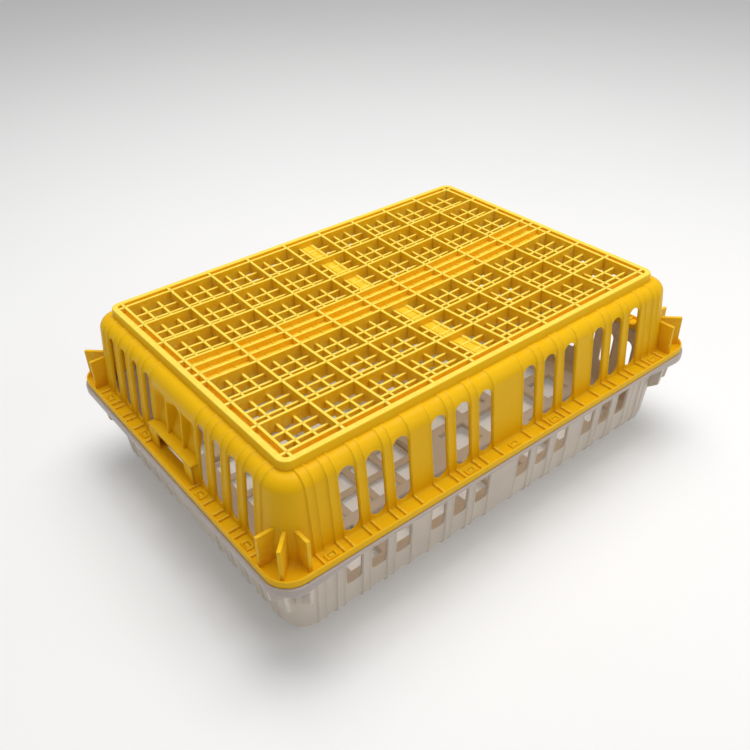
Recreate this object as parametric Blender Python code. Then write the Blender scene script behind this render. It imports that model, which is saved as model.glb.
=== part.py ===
"""Two-shell poultry transport crate.

A ribbed upper shell stands on a mirrored lower shell. The shells meet at a flange
round the crate's middle, where captive snap clips hold them together. A loading
door slides in two rails under the lower shell's plate.

Frame: +X along the crate's length, +Y across it, +Z up. The origin is at the middle
of the footprint, on the surface that the crate stands on. Lengths are in metres.
"""
import math

import bmesh
import bpy
from mathutils import Vector

# Driving dimensions -------------------------------------------------------------
LENGTH = 0.750            # over the lower shell's rim
WIDTH = 0.550
HEIGHT = 0.270
PARTING = 0.143           # height of the joint between the shells
FIT_GAP = 0.0003          # gap between pieces that touch
WALL = 0.003

FLANGE_INSET = 0.003      # the upper flange is this much inside the lower rim
LIP_HEIGHT = 0.0095
LIP_WIDTH = 0.003
LEDGE_THICKNESS = 0.0045
RIM_SKIRT = 0.0137
RIM_SLIM = 0.0055         # height of the rim along the long sides
RIM_SLIM_HALF = 0.262     # half length of the slim stretch
RIM_FULL_HALF = 0.335     # the rim has its full height again from here outward

FOOT = (0.352, 0.248)     # half length and half width of the wall at the flange
BROW = (0.3435, 0.2415)   # the same where the shoulder starts
FOOT_RADIUS = 0.034
BROW_RADIUS = 0.032
BROW_DEPTH = 0.032        # from the face of the frame band to the shoulder's start
SHOULDER = 0.020          # shoulder radius
BAND = (0.3220, 0.2200)   # outer half sizes of the raised frame band
BAND_RADIUS = 0.0145
BAND_RISE = 0.012
BAND_WIDTH = 0.0082
CORNER_STEPS = 5
ARC_DEGREES = (30, 60, 90)  # steps round the shoulder
BAND_DRAFT = 0.001        # the frame band is this much wider at its foot
CEILING_TAPER = 0.008     # the hollow narrows by this much towards the plate

OVERSHOOT = 0.001         # a cutter runs this far past the face that it opens
ROOT = 0.002              # an added piece starts this far inside its shell

GRID = (0.305, 0.20285)   # half sizes between the outermost rib centres
RIB = 0.0042
PLATE = 0.020             # depth of the upper plate's ribs
END_COLUMN = 0.0708
INNER_COLUMNS = 7
END_ROW = 0.0600
ROW = 0.0571
NARROW_ROW = 0.0191
CHANNEL_DEPTH = 0.010
CHANNEL_SKIN = 0.0035
RECESS_RADIUS = 0.003

SLOT_TOP = 0.026          # from the face of the frame band to the slot's near end
SLOT_END = 0.119
LOWER_SLOT_START = 0.060  # height of the lower shell's slots above the ground
LOWER_SLOT_CORNER = 0.006
LONG_SLOT = 0.024
SHORT_SLOT = 0.020
LONG_SLOT_PITCH = 0.0391
LONG_GROUPS = (0.0788, 0.2160)
SHORT_SLOT_FIRST = 0.0716
SHORT_SLOT_PITCH = 0.0359
SHORT_SLOTS = 4
ARC_STEPS = 4

FIN = 0.0048
FIN_HEIGHT = 0.051        # above the shells' joint
FIN_REACH = (0.3675, 0.2650)
FIN_START = (0.335, 0.235)
FIN_SHORT_SIDE_Y = 0.2217
FIN_LONG_SIDE_X = 0.327
FIN_DIAGONAL = ((0.3340, 0.2303), (0.3600, 0.2563))
GUSSET_DROP = 0.054       # at the gusset's outer end
GUSSET_ROOT_DROP = 0.072  # beside the wall
GUSSET_FOOT = 0.78        # width of a gusset's lower edge, as a share of its upper one

GRIP_HALF = 0.060         # hand hold, half its width
GRIP_BACK = 0.340
GRIP_FRONT = 0.3595
GRIP_SHELF = 0.037        # above the shells' joint
GRIP_SKIN = 0.003
GRIP_ROOM_BACK = 0.351
GRIP_ARCH_HALF = 0.037
GRIP_ARCH_TOP = 0.0325
GRIP_ARCH_CORNER = 0.004

SOCKETS_LONG = (-0.296, -0.0788, 0.0, 0.0788, 0.296)
SOCKETS_SHORT = (-0.1860, -0.0770, 0.0770, 0.1860)
SOCKET_Y = 0.2600
SOCKET_X = 0.3610
SOCKET_SIZE = (0.017, 0.011)
SOCKET_HOLE = (0.0086, 0.0060)
SOCKET_RISE = 0.0035
CLIP_PLAY = 0.0004
CLIP_TAIL = 0.010         # how far a clip's prong reaches below the joint
CLIP_TAPER = 0.006        # the prong starts to taper this far below the joint
CLIP_POINT = 0.0018       # the tip is this much narrower on each side than the socket
CLIP_SUNK = 0.001         # the clip's head lies this far below the socket's rim

FLOOR_TOP = 0.020         # inner face of the lower plate
FLOOR_SKIN = 0.008
FLOOR_BAR = 0.018
FLOOR_COLUMNS = 9
FLOOR_MARGIN = 0.004      # between a row of openings and the rail or band beside it
FLOOR_MIDDLE_ROWS = 4     # rows of openings between the door's rails
DOOR_OPENING = ((-0.262, -0.012), (-0.115, 0.115))
DOOR_OVERLAP = 0.012
DOOR_THICKNESS = 0.005
DOOR_LOW = 0.0058
DOOR_BAR = 0.012
DOOR_CELLS = (5, 5)
DOOR_BORDER = 0.010
PULL = (0.003, 0.007)     # pull lip, from the door's edge
PULL_HALF = 0.040
PULL_DROP = 0.0035
RAIL = 0.004
RAIL_LIP = 0.006
RAIL_LOW = 0.0018
RAIL_END = 0.300
RAIL_PLAY = 0.0008        # between a rail and the door
RAIL_RUN_ON = 0.006       # the rails run on past the shut door

YELLOW = (0.84, 0.50, 0.012, 1.0)
WHITE = (0.62, 0.57, 0.50, 1.0)


# Scene and materials -------------------------------------------------------------
def clear_scene():
    for obj in list(bpy.data.objects):
        bpy.data.objects.remove(obj, do_unlink=True)


def plastic(name, colour, roughness):
    material = bpy.data.materials.new(name)
    material.use_nodes = True
    shader = material.node_tree.nodes["Principled BSDF"]
    shader.inputs["Base Color"].default_value = colour
    shader.inputs["Roughness"].default_value = roughness
    shader.inputs["Metallic"].default_value = 0.0
    return material


def new_object(name, bm, material=None):
    bmesh.ops.recalc_face_normals(bm, faces=bm.faces)
    mesh = bpy.data.meshes.new(name)
    bm.to_mesh(mesh)
    bm.free()
    obj = bpy.data.objects.new(name, mesh)
    bpy.context.scene.collection.objects.link(obj)
    if material:
        mesh.materials.append(material)
    return obj


# Mesh building blocks ------------------------------------------------------------
def rounded_ring(half_x, half_y, radius, z):
    """Points round a rounded rectangle, anticlockwise from the +X side."""
    points = []
    for turn, (sx, sy) in enumerate(((1, 1), (-1, 1), (-1, -1), (1, -1))):
        cx = sx * (half_x - radius)
        cy = sy * (half_y - radius)
        for step in range(CORNER_STEPS + 1):
            angle = math.radians(90 * turn + 90 * step / CORNER_STEPS)
            points.append(Vector((cx + radius * math.cos(angle), cy + radius * math.sin(angle), z)))
    return points


def loft(sections, closed=False):
    """A solid through rounded rectangles: capped at both ends, or closed like a ring."""
    bm = bmesh.new()
    rings = [[bm.verts.new(p) for p in rounded_ring(*section)] for section in sections]
    pairs = list(zip(rings, rings[1:]))
    if closed:
        pairs.append((rings[-1], rings[0]))
    for low, high in pairs:
        for index in range(len(low)):
            following = (index + 1) % len(low)
            bm.faces.new((low[index], low[following], high[following], high[index]))
    if not closed:
        bm.faces.new(rings[0])
        bm.faces.new(rings[-1])
    return bm


def add_prism(bm, outline, low, high, axis):
    """A straight prism: outline is a list of 2-D points square to the axis."""
    def place(point, along):
        coordinates = list(point)
        coordinates.insert(axis, along)
        return Vector(coordinates)

    near = [bm.verts.new(place(p, low)) for p in outline]
    far = [bm.verts.new(place(p, high)) for p in outline]
    for index in range(len(near)):
        following = (index + 1) % len(near)
        bm.faces.new((near[index], near[following], far[following], far[index]))
    bm.faces.new(near)
    bm.faces.new(far)


def add_box(bm, low, high):
    outline = ((low[0], low[1]), (high[0], low[1]), (high[0], high[1]), (low[0], high[1]))
    add_prism(bm, outline, low[2], high[2], 2)


def stadium(centre, half_width, low, high):
    """Outline of a slot with round ends that stands between low and high."""
    points = []
    for end, height in ((0, high - half_width), (1, low + half_width)):
        for step in range(ARC_STEPS + 1):
            angle = math.pi * (end + step / ARC_STEPS)
            points.append((centre + half_width * math.cos(angle), height + half_width * math.sin(angle)))
    return points


def blunt_slot(centre, half_width, low, high):
    """Outline of a slot with a round end above and small round corners below."""
    points = []
    for step in range(ARC_STEPS + 1):
        angle = math.pi * step / ARC_STEPS
        height = high - half_width + half_width * math.sin(angle)
        points.append((centre + half_width * math.cos(angle), height))
    corner = LOWER_SLOT_CORNER
    half_steps = ARC_STEPS // 2
    for side, start in ((-1, math.pi), (1, 1.5 * math.pi)):
        for step in range(half_steps + 1):
            angle = start + math.pi / 2 * step / half_steps
            across = centre + side * (half_width - corner) + corner * math.cos(angle)
            points.append((across, low + corner + corner * math.sin(angle)))
    return points


def apply_boolean(obj, bm, operation):
    """Join, cut or keep the shape in bm, and leave the result as the object's mesh."""
    tool = new_object("tool", bm)
    modifier = obj.modifiers.new("tool", "BOOLEAN")
    modifier.operation = operation
    modifier.solver = "EXACT"
    modifier.object = tool
    graph = bpy.context.evaluated_depsgraph_get()
    mesh = bpy.data.meshes.new_from_object(obj.evaluated_get(graph))
    obj.modifiers.remove(modifier)
    material = list(obj.data.materials)
    obj.data = mesh
    mesh.materials.clear()
    for entry in material:
        mesh.materials.append(entry)
    bpy.data.objects.remove(tool, do_unlink=True)


def cut(obj, bm):
    apply_boolean(obj, bm, "DIFFERENCE")


def join(obj, bm):
    apply_boolean(obj, bm, "UNION")


# Layout of the ribs and slots ----------------------------------------------------
def column_lines():
    step = (2 * GRID[0] - 2 * END_COLUMN) / INNER_COLUMNS
    inner = [-GRID[0] + END_COLUMN + step * index for index in range(INNER_COLUMNS + 1)]
    return [-GRID[0]] + inner + [GRID[0]]


def row_steps():
    outer = [END_ROW, ROW, ROW]
    return outer + [NARROW_ROW] * 3 + outer[::-1]


def row_lines():
    lines = [-GRID[1]]
    for step in row_steps():
        lines.append(lines[-1] + step)
    return lines


def slot_centres_long():
    offsets = (-LONG_SLOT_PITCH, 0.0, LONG_SLOT_PITCH)
    return [side * group + offset for side in (-1, 1) for group in LONG_GROUPS for offset in offsets]


def slot_centres_short():
    first = [SHORT_SLOT_FIRST + SHORT_SLOT_PITCH * index for index in range(SHORT_SLOTS)]
    return [side * centre for side in (-1, 1) for centre in first]


def slot_cutter(face, side, start, outline):
    """Slots through all four walls, from the depth start. side is +1 for the upper shell."""
    near = face - side * start
    far = face - side * SLOT_END
    low, high = min(near, far), max(near, far)
    bm_long = bmesh.new()
    bm_short = bmesh.new()
    for centre in slot_centres_long():
        add_prism(bm_long, outline(centre, LONG_SLOT / 2, low, high), -WIDTH, WIDTH, 1)
    for centre in slot_centres_short():
        add_prism(bm_short, outline(centre, SHORT_SLOT / 2, low, high), -LENGTH, LENGTH, 0)
    return bm_long, bm_short


# Shell body ----------------------------------------------------------------------
def shoulder_points(offset):
    """Half length, half width, radius and depth along the shoulder, from brow to band."""
    points = []
    for degrees in ARC_DEGREES:
        angle = math.radians(degrees)
        inward = SHOULDER - (SHOULDER - offset) * math.cos(angle)
        depth = BROW_DEPTH - (SHOULDER - offset) * math.sin(angle)
        points.append((BROW[0] - inward, BROW[1] - inward, BROW_RADIUS - inward, depth))
    return points


def wall_sections(offset, foot_depth):
    """The wall from its foot to the top of the shoulder, moved in by offset."""
    foot = (FOOT[0] - offset, FOOT[1] - offset, FOOT_RADIUS - offset, foot_depth)
    brow = (BROW[0] - offset, BROW[1] - offset, BROW_RADIUS - offset, BROW_DEPTH)
    return [foot, brow] + shoulder_points(offset)


def to_height(sections, face, side):
    return [(x, y, radius, face - side * depth) for x, y, radius, depth in sections]


def band_sections():
    base = (BAND[0] + BAND_DRAFT, BAND[1] + BAND_DRAFT, BAND_RADIUS + BAND_DRAFT, BAND_RISE)
    top = (BAND[0], BAND[1], BAND_RADIUS, 0.0)
    return [base, top]


def cavity_loft(face, side, depth, ceiling):
    """The hollow of a shell, up to a flat ceiling that lies this deep under the face."""
    sections = wall_sections(WALL, depth)[:2]
    steep = WALL + CEILING_TAPER
    last = (BROW[0] - steep, BROW[1] - steep, BROW_RADIUS - steep, ceiling)
    return loft(to_height(sections + [last], face, side))


def corner_signs():
    return [(sx, sy) for sx in (-1, 1) for sy in (-1, 1)]


def add_fin(bm, start, end, low, high):
    """An upright plate between two plan points."""
    along = Vector((end[0] - start[0], end[1] - start[1])).normalized()
    across = Vector((-along.y, along.x)) * (FIN / 2)
    outline = []
    for point, sign in ((start, 1), (end, 1), (end, -1), (start, -1)):
        outline.append((point[0] + sign * across.x, point[1] + sign * across.y))
    add_prism(bm, outline, low, high, 2)


def fin_lines():
    """Start and end of the three plates at each corner, from inside the wall outward."""
    lines = []
    for sx, sy in corner_signs():
        short_side = ((FIN_START[0], FIN_SHORT_SIDE_Y), (FIN_REACH[0], FIN_SHORT_SIDE_Y))
        long_side = ((FIN_LONG_SIDE_X, FIN_START[1]), (FIN_LONG_SIDE_X, FIN_REACH[1]))
        for start, end in (short_side, long_side, FIN_DIAGONAL):
            lines.append(((sx * start[0], sy * start[1]), (sx * end[0], sy * end[1])))
    return lines


def hand_hold_block(bm, low, high):
    for sx in (-1, 1):
        xs = sorted((sx * GRIP_BACK, sx * GRIP_FRONT))
        add_box(bm, (xs[0], -GRIP_HALF, low), (xs[1], GRIP_HALF, high))


def hand_hold_hollow(bm, joint, side):
    """The finger room behind each grip's web, open on the far side from the shelf."""
    half = GRIP_HALF - GRIP_SKIN
    ends = sorted((joint - side * ROOT, joint + side * (GRIP_SHELF - GRIP_SKIN)))
    for sx in (-1, 1):
        xs = sorted((sx * GRIP_ROOM_BACK, sx * (GRIP_FRONT - GRIP_SKIN)))
        add_box(bm, (xs[0], -half, ends[0]), (xs[1], half, ends[1]))


def arch_outline(joint, side, base):
    """Front view of the hand hold's arch, as points across and up."""
    corner = GRIP_ARCH_CORNER
    top = joint + side * GRIP_ARCH_TOP
    foot = joint + side * base
    return [
        (-GRIP_ARCH_HALF, foot),
        (GRIP_ARCH_HALF, foot),
        (GRIP_ARCH_HALF, top - side * corner),
        (GRIP_ARCH_HALF - corner, top),
        (-GRIP_ARCH_HALF + corner, top),
        (-GRIP_ARCH_HALF, top - side * corner),
    ]


def socket_places():
    """Centre and half sizes of every snap socket, by side name."""
    places = {}
    for name, sign in (("front", -1), ("back", 1)):
        places[name] = [(x, sign * SOCKET_Y, 0) for x in SOCKETS_LONG]
    for name, sign in (("left", -1), ("right", 1)):
        places[name] = [(sign * SOCKET_X, y, 1) for y in SOCKETS_SHORT]
    return places


def add_socket_boxes(bm, size, low, high):
    for places in socket_places().values():
        for x, y, turned in places:
            half = (size[turned] / 2, size[1 - turned] / 2)
            add_box(bm, (x - half[0], y - half[1], low), (x + half[0], y + half[1], high))


# Upper shell ---------------------------------------------------------------------
def upper_outer():
    base = PARTING + FIT_GAP
    depth = HEIGHT - base
    reach = (LENGTH / 2 - FLANGE_INSET, WIDTH / 2 - FLANGE_INSET)
    radius = FOOT_RADIUS
    lip = depth - LIP_HEIGHT
    ledge = depth - LEDGE_THICKNESS
    inner = (reach[0] - LIP_WIDTH, reach[1] - LIP_WIDTH, radius - LIP_WIDTH)
    sections = [(*reach, radius, depth), (*reach, radius, lip), (*inner, lip), (*inner, ledge)]
    sections += wall_sections(0.0, ledge) + band_sections()
    return loft(to_height(sections, HEIGHT, 1))


def perimeter_channel(face, side, depth):
    inner = (GRID[0] + RIB / 2, GRID[1] + RIB / 2, RECESS_RADIUS)
    outer = (BAND[0] - BAND_WIDTH, BAND[1] - BAND_WIDTH, BAND_RADIUS - BAND_WIDTH)
    near = -OVERSHOOT
    sections = [(*outer, near), (*outer, depth), (*inner, depth), (*inner, near)]
    return loft(to_height(sections, face, side), closed=True)


def underside_groove():
    """Thins the upper plate's border from below, under the perimeter channel."""
    inner = (GRID[0] + RIB / 2, GRID[1] + RIB / 2, RECESS_RADIUS)
    outer = (BAND[0] + BAND_DRAFT, BAND[1] + BAND_DRAFT, BAND_RADIUS)
    floor = CHANNEL_DEPTH + CHANNEL_SKIN
    low = PLATE + OVERSHOOT
    sections = [(*outer, low), (*outer, floor), (*inner, floor), (*inner, low)]
    return loft(to_height(sections, HEIGHT, 1), closed=True)


def plate_cutters():
    """Open cells, narrow channels' pockets, and the hollows under those channels."""
    cells = bmesh.new()
    pockets = bmesh.new()
    hollows = bmesh.new()
    xs = column_lines()
    ys = row_lines()
    half = RIB / 2
    above = HEIGHT + OVERSHOOT
    below = HEIGHT - PLATE - OVERSHOOT
    pocket_floor = HEIGHT - CHANNEL_DEPTH
    for row, (y0, y1) in enumerate(zip(ys, ys[1:])):
        narrow = row_steps()[row] == NARROW_ROW
        for x0, x1 in zip(xs, xs[1:]):
            low = (x0 + half, y0 + half)
            high = (x1 - half, y1 - half)
            if narrow:
                add_box(pockets, (*low, pocket_floor), (*high, above))
            else:
                add_box(cells, (*low, below), (*high, above))
        if narrow:
            low = (xs[0] + half, y0 + half, below)
            high = (xs[-1] - half, y1 - half, pocket_floor - CHANNEL_SKIN)
            add_box(hollows, low, high)
    return cells, pockets, hollows


def build_upper_shell(material):
    joint = PARTING + FIT_GAP
    shell = new_object("upper_shell", upper_outer(), material)
    extras = bmesh.new()
    for start, end in fin_lines():
        add_fin(extras, start, end, joint + ROOT, PARTING + FIN_HEIGHT)
    join(shell, extras)
    grips = bmesh.new()
    hand_hold_block(grips, joint + ROOT, PARTING + GRIP_SHELF)
    join(shell, grips)
    sockets = bmesh.new()
    add_socket_boxes(sockets, SOCKET_SIZE, joint + ROOT, joint + LEDGE_THICKNESS + SOCKET_RISE)
    join(shell, sockets)
    cut(shell, cavity_loft(HEIGHT, 1, HEIGHT - joint + OVERSHOOT, PLATE))
    cut(shell, underside_groove())
    cut(shell, perimeter_channel(HEIGHT, 1, CHANNEL_DEPTH))
    for cutter in plate_cutters():
        cut(shell, cutter)
    for cutter in slot_cutter(HEIGHT, 1, SLOT_TOP, stadium):
        cut(shell, cutter)
    hollow = bmesh.new()
    hand_hold_hollow(hollow, joint, 1)
    cut(shell, hollow)
    arch = bmesh.new()
    add_prism(arch, arch_outline(joint, 1, LEDGE_THICKNESS + OVERSHOOT), -LENGTH, LENGTH, 0)
    cut(shell, arch)
    holes = bmesh.new()
    add_socket_boxes(holes, SOCKET_HOLE, joint - OVERSHOOT, joint + LIP_HEIGHT)
    cut(shell, holes)
    return shell


# Lower shell ---------------------------------------------------------------------
def rim_relief():
    """Cutters that slim the rim's skirt along both long sides."""
    low = PARTING - RIM_SKIRT - OVERSHOOT
    high = PARTING - RIM_SLIM
    outline = ((-RIM_FULL_HALF, low), (RIM_FULL_HALF, low), (RIM_SLIM_HALF, high), (-RIM_SLIM_HALF, high))
    inner = WIDTH / 2 - WALL - OVERSHOOT / 2
    outer = WIDTH / 2 + OVERSHOOT
    bm = bmesh.new()
    add_prism(bm, outline, inner, outer, 1)
    add_prism(bm, outline, -outer, -inner, 1)
    return bm


def lower_outer():
    reach = (LENGTH / 2, WIDTH / 2)
    radius = FOOT_RADIUS + FLANGE_INSET
    skirt = PARTING - RIM_SKIRT
    inner = (reach[0] - WALL, reach[1] - WALL, radius - WALL)
    ledge = PARTING - LEDGE_THICKNESS
    sections = [(*reach, radius, PARTING), (*reach, radius, skirt), (*inner, skirt), (*inner, ledge)]
    sections += wall_sections(0.0, ledge) + band_sections()
    return loft(to_height(sections, 0.0, -1))


def add_gusset(bm, start, end, top):
    """A hanging plate between the rim and the wall."""
    along = Vector((end[0] - start[0], end[1] - start[1])).normalized()
    across = Vector((-along.y, along.x)) * (FIN / 2)
    foot = Vector(start).lerp(Vector(end), GUSSET_FOOT)
    verts = []
    corners = ((start, top), (end, top), (foot, top - GUSSET_DROP), (start, top - GUSSET_ROOT_DROP))
    for sign in (1, -1):
        for point, height in corners:
            verts.append(bm.verts.new((point[0] + sign * across.x, point[1] + sign * across.y, height)))
    left, right = verts[:4], verts[4:]
    bm.faces.new(left)
    bm.faces.new(right)
    for index in range(4):
        following = (index + 1) % 4
        bm.faces.new((left[index], left[following], right[following], right[index]))


def even_lines(low, high, count):
    return [low + (high - low) * index / count for index in range(count + 1)]


def floor_rows():
    """Low and high edges of the floor's rows of openings, bars left out."""
    half = FLOOR_BAR / 2
    door_half = DOOR_OPENING[1][1]
    middle = even_lines(-door_half - half, door_half + half, FLOOR_MIDDLE_ROWS)
    rows = [(y0 + half, y1 - half) for y0, y1 in zip(middle, middle[1:])]
    outer = (door_half + DOOR_OVERLAP + RAIL + FLOOR_MARGIN, GRID[1] - FLOOR_MARGIN)
    return [(-outer[1], -outer[0])] + rows + [outer]


def floor_cells():
    """Openings between the floor's broad bars, left out where the door's opening is."""
    bm = bmesh.new()
    xs = even_lines(-GRID[0], GRID[0], FLOOR_COLUMNS)
    (dx0, dx1), (_, dy1) = DOOR_OPENING
    clear = FLOOR_BAR / 3
    for y0, y1 in floor_rows():
        for x0, x1 in zip(xs, xs[1:]):
            low = x0 + FLOOR_BAR / 2
            high = x1 - FLOOR_BAR / 2
            beside_door = high < dx0 - clear or low > dx1 + clear
            if beside_door or max(abs(y0), abs(y1)) > dy1 + clear:
                add_box(bm, (low, y0, -OVERSHOOT), (high, y1, FLOOR_TOP + OVERSHOOT))
    return bm


def rail_outline(side):
    """Cross-section of a door rail, as points along Y and up."""
    edge = DOOR_OPENING[1][1] + DOOR_OVERLAP + RAIL_PLAY
    roof = FLOOR_TOP - FLOOR_SKIN - FIT_GAP
    shelf = DOOR_LOW - RAIL_PLAY
    return [
        (side * (edge - RAIL_LIP), RAIL_LOW),
        (side * (edge + RAIL), RAIL_LOW),
        (side * (edge + RAIL), roof),
        (side * edge, roof),
        (side * edge, shelf),
        (side * (edge - RAIL_LIP), shelf),
    ]


def build_rail(name, side, material):
    """An L-shaped rail along X that carries one edge of the door."""
    start = DOOR_OPENING[0][0] - DOOR_OVERLAP - RAIL_RUN_ON
    bm = bmesh.new()
    add_prism(bm, rail_outline(side), start, RAIL_END, 0)
    return new_object(name, bm, material)


def build_lower_shell(material):
    shell = new_object("lower_shell", lower_outer(), material)
    cut(shell, rim_relief())
    gussets = bmesh.new()
    for start, end in fin_lines():
        add_gusset(gussets, start, end, PARTING - ROOT)
    join(shell, gussets)
    cut(shell, cavity_loft(0.0, -1, PARTING + OVERSHOOT, FLOOR_TOP))
    recess = (BAND[0] - BAND_WIDTH, BAND[1] - BAND_WIDTH, BAND_RADIUS - BAND_WIDTH)
    cut(shell, loft([(*recess, -OVERSHOOT), (*recess, FLOOR_TOP - FLOOR_SKIN)]))
    cut(shell, floor_cells())
    opening = bmesh.new()
    (dx0, dx1), (dy0, dy1) = DOOR_OPENING
    add_box(opening, (dx0, dy0, -OVERSHOOT), (dx1, dy1, FLOOR_TOP + OVERSHOOT))
    cut(shell, opening)
    for cutter in slot_cutter(0.0, -1, LOWER_SLOT_START, blunt_slot):
        cut(shell, cutter)
    arch = bmesh.new()
    add_prism(arch, arch_outline(PARTING, -1, RIM_SKIRT + OVERSHOOT), -LENGTH, LENGTH, 0)
    cut(shell, arch)
    holes = bmesh.new()
    add_socket_boxes(holes, SOCKET_HOLE, PARTING - CLIP_TAIL, PARTING + OVERSHOOT)
    cut(shell, holes)
    return shell


# Loose pieces --------------------------------------------------------------------
def build_clip(name, place, material):
    """A clip: a tapered prong that passes through the socket and the rim below it."""
    x, y, turned = place
    sizes = (SOCKET_HOLE[turned], SOCKET_HOLE[1 - turned])
    top = FIT_GAP + LEDGE_THICKNESS + SOCKET_RISE - CLIP_SUNK
    bm = bmesh.new()
    rings = []
    for height, shrink in ((-CLIP_TAIL, CLIP_POINT), (-CLIP_TAPER, CLIP_PLAY), (top, CLIP_PLAY)):
        hx = sizes[0] / 2 - shrink
        hy = sizes[1] / 2 - shrink
        corners = ((-hx, -hy), (hx, -hy), (hx, hy), (-hx, hy))
        rings.append([bm.verts.new((cx, cy, height)) for cx, cy in corners])
    for low, high in zip(rings, rings[1:]):
        for index in range(4):
            following = (index + 1) % 4
            bm.faces.new((low[index], low[following], high[following], high[index]))
    bm.faces.new(rings[0])
    bm.faces.new(rings[-1])
    clip = new_object(name, bm, material)
    clip.location = (x, y, PARTING)
    return clip


def build_door(material):
    (dx0, dx1), (_, dy1) = DOOR_OPENING
    half_x = (dx1 - dx0) / 2 + DOOR_OVERLAP
    half_y = dy1 + DOOR_OVERLAP
    centre = (dx0 + dx1) / 2
    bm = bmesh.new()
    add_box(bm, (-half_x, -half_y, 0.0), (half_x, half_y, DOOR_THICKNESS))
    door = new_object("loading_door", bm, material)
    pull = bmesh.new()
    add_box(pull, (PULL[0] - half_x, -PULL_HALF, -PULL_DROP), (PULL[1] - half_x, PULL_HALF, OVERSHOOT))
    join(door, pull)
    cells = bmesh.new()
    xs = even_lines(DOOR_BORDER - half_x, half_x - DOOR_BORDER, DOOR_CELLS[0])
    ys = even_lines(DOOR_BORDER - half_y, half_y - DOOR_BORDER, DOOR_CELLS[1])
    half = DOOR_BAR / 2
    for y0, y1 in zip(ys, ys[1:]):
        for x0, x1 in zip(xs, xs[1:]):
            low = (x0 + half, y0 + half, -OVERSHOOT)
            high = (x1 - half, y1 - half, DOOR_THICKNESS + OVERSHOOT)
            add_box(cells, low, high)
    cut(door, cells)
    door.location = (centre, 0.0, DOOR_LOW)
    return door


def main():
    clear_scene()
    yellow = plastic("yellow_plastic", YELLOW, 0.35)
    white = plastic("white_plastic", WHITE, 0.45)
    build_lower_shell(white)
    build_door(white.copy())
    build_rail("door_rail_front", -1, white.copy())
    build_rail("door_rail_back", 1, white.copy())
    build_upper_shell(yellow)
    for side_name, places in socket_places().items():
        for number, place in enumerate(places, 1):
            build_clip(f"snap_clip_{side_name}_{number}", place, yellow.copy())


main()
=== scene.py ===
import math

import bmesh
import bpy
from mathutils import Matrix, Vector


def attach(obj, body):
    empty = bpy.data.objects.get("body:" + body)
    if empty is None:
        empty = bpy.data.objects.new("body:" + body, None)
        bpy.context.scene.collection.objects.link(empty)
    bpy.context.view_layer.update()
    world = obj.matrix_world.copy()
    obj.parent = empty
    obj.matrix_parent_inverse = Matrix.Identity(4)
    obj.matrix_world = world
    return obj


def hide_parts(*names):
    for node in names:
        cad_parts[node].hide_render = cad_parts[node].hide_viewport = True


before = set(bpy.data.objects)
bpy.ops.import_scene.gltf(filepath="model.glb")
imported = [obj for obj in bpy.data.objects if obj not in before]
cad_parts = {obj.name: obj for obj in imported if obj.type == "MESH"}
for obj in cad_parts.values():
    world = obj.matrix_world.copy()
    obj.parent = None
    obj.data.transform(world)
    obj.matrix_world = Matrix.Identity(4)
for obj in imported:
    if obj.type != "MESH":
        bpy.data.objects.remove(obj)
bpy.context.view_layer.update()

MM = 0.001

# Sizes ---------------------------------------------------------------------------
HEIGHT = 270.0
PARTING = 143.0
FIT_GAP = 0.3
CORNER_STEPS = 12

BROW = (343.5, 241.5, 32.0)      # half length, half width and corner radius
FOOT = (352.0, 248.0, 34.0)
BROW_DEPTH = 32.0
UPPER_FOOT_DEPTH = 122.2
LOWER_FOOT_DEPTH = 138.5
SHOULDER = 20.0
SHEET = 2.8                      # wall thickness
WALL_START = 12.3                # depth at which the walls start under the frame band
WALL_NORMAL = (0.996, 0.085)     # outward and facing shares of the leaning wall's normal
PANEL = -0.6                     # slot channels lie this far under the bands between them
BEAD = 1.4                       # a bead this high runs down both edges of every band
BEAD_PROFILE = ((-1.4, PANEL), (-0.3, BEAD), (0.6, BEAD), (1.8, 0.0))

SLOT_TOP = 26.0
SLOT_END = 119.0
LOWER_SLOT_START = 60.0          # the lower shell's slots begin higher, with small corners
LOWER_SLOT_CORNER = 6.0
LONG_SLOT_HALF = 12.0
SHORT_SLOT_HALF = 10.0
LONG_SLOTS = (39.7, 78.8, 117.9, 176.9, 216.0, 255.1)
SHORT_SLOTS = (71.6, 107.5, 143.4, 179.3)
LONG_BANDS = (
    (53.2, 65.3), (92.3, 104.4), (131.4, 163.4), (190.4, 202.5), (229.5, 241.6),
    (268.6, 281.0), (297.5, 309.5),
)
LONG_CENTRE_BAND = 26.2
SHORT_BANDS = ((83.3, 95.7), (119.2, 131.6), (155.1, 167.5), (191.1, 203.5))
SHORT_CENTRE_BAND = 59.8

DENT_HALF = 54.0                 # the hollow above each upper hand hold
DENT_EDGE = 5.0
DENT_RIB = (18.7, 21.3)
DENT_RIB_RAMP = 0.8
DENT_START = 31.0
DENT_DEEPEST = 57.0
DENT_SHELF = 90.0
DENT_DEPTH = 11.0
DENT_MIDDLE_DEPTH = 14.0
DENT_REST = 4.5

BAND = (322.0, 220.0, 14.5)      # raised frame band, outer sizes
BAND_WIDTH = 8.2
GRID = (305.0, 202.85)
RIB_HALF = 2.1
RIB_DEPTH = 20.0
SAG = 8.5
END_COLUMN = 70.8
INNER_COLUMNS = 7
ROW_STEPS = (60.0, 57.1, 57.1, 19.1, 19.1, 19.1, 57.1, 57.1, 60.0)
NARROW = 19.1
BAND_LAP = 1.5                   # the walls and the channel's floor reach this far under the band
CHANNEL_DEPTH = 8.5
CHANNEL_SKIN = 3.5
FINE_HALF = 1.9
FINE_TOP = 9.2

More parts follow.
